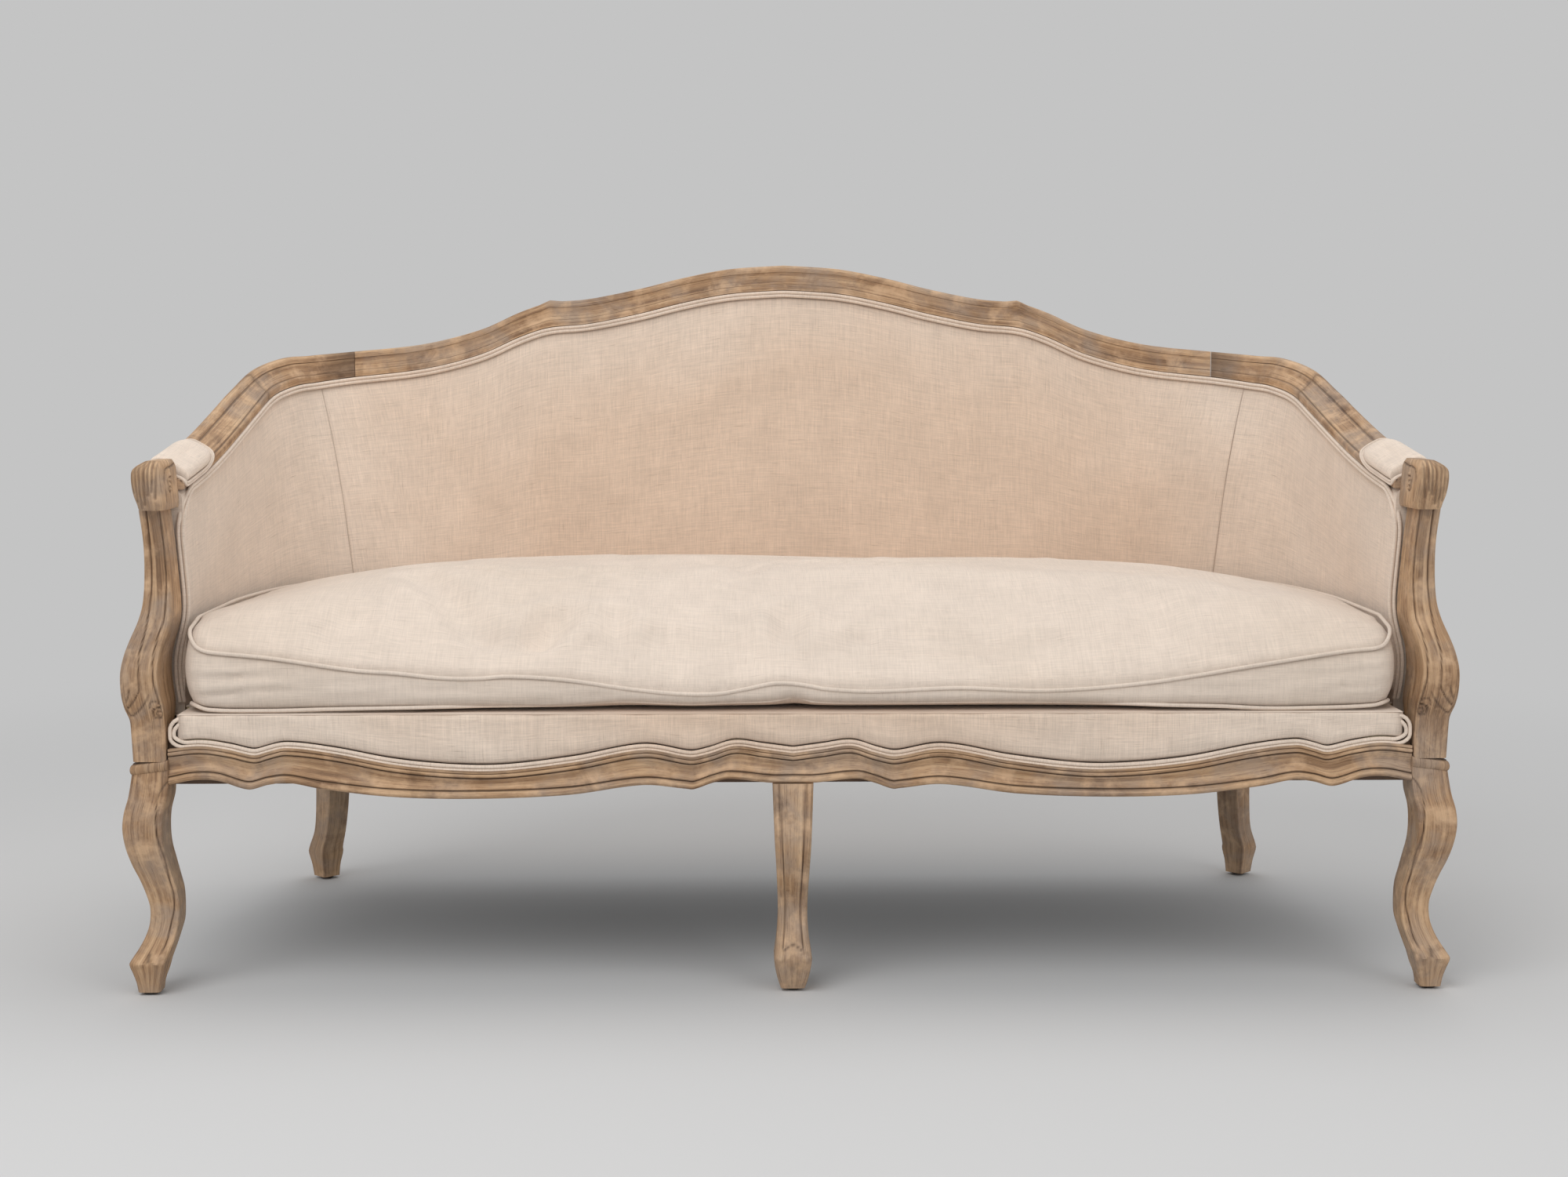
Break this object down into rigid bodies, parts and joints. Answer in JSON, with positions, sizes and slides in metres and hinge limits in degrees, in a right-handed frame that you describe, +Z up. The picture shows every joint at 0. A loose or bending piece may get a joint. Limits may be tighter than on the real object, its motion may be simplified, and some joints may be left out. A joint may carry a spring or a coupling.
{
  "type": "settee",
  "caption": "Cabriole settee with a camel-back carved wood frame, linen upholstery, padded arms and a loose boxed seat cushion.",
  "frame": {"origin": "on the floor under the middle of the sofa's bounding box", "axes": "+X to the right of someone who looks at the front, +Y from the front to the back, +Z up"},
  "size_m": [1.818, 0.7633, 1.0221],
  "materials": {
    "weathered_oak": "weathered, limed, dark in the grooves",
    "frame_pine": "sawn, unfinished",
    "steel": "plain",
    "glide_plastic": "matt",
    "jute": "coarse weave",
    "black_cambric": "thin non-woven",
    "foam": "open cell",
    "feather_ticking": "fine cotton",
    "cushion_linen": "slubby linen, pale",
    "frame_linen": "slubby linen"
  },
  "bodies": {
    "frame": {"front_leg_left": "weathered_oak", "front_leg_right": "weathered_oak", "front_leg_middle": "weathered_oak", "back_leg_left": "weathered_oak", "back_leg_right": "weathered_oak", "foot_glides": "glide_plastic", "front_rail": "weathered_oak", "front_rail_batten": "frame_pine", "side_rail_left": "weathered_oak", "side_rail_right": "weathered_oak", "back_rail": "weathered_oak", "seat_brace": "frame_pine", "corner_blocks": "frame_pine", "corner_block_screws": "steel", "arm_stump_left": "weathered_oak", "arm_stump_right": "weathered_oak", "armrest_left": "weathered_oak", "armrest_right": "weathered_oak", "top_corner_left": "weathered_oak", "top_corner_right": "weathered_oak", "top_rail": "weathered_oak", "back_post_left": "frame_pine", "back_post_right": "frame_pine", "back_stays": "frame_pine", "arm_tack_rail_left": "frame_pine", "arm_tack_rail_right": "frame_pine", "back_tack_rail": "frame_pine", "zigzag_springs": "steel", "spring_clips": "steel", "spring_cover": "jute", "deck_foam": "foam", "deck_cover": "frame_linen", "front_border": "frame_linen", "seat_welt": "frame_linen", "dust_cover": "black_cambric", "back_webbing": "jute", "back_foam": "foam", "arm_foam_left": "foam", "arm_foam_right": "foam", "inside_back_cover": "frame_linen", "inside_arm_cover_left": "frame_linen", "inside_arm_cover_right": "frame_linen", "back_welt": "frame_linen", "outside_back_cover": "frame_linen", "outside_arm_cover_left": "frame_linen", "outside_arm_cover_right": "frame_linen", "arm_pad_left": "frame_linen", "arm_pad_right": "frame_linen", "arm_pad_welt_left": "frame_linen", "arm_pad_welt_right": "frame_linen"},
    "seat_cushion": {"cushion_insert": "feather_ticking", "cushion_cover": "cushion_linen", "cushion_welt_top": "cushion_linen", "cushion_welt_bottom": "cushion_linen", "cushion_zip": "steel"}
  },
  "joints": [
    {"name": "seat_cushion_lift", "type": "slide", "parent": "frame", "child": "seat_cushion", "axis": [0, 0, 1], "range_m": [0, 0.35]}
  ]
}
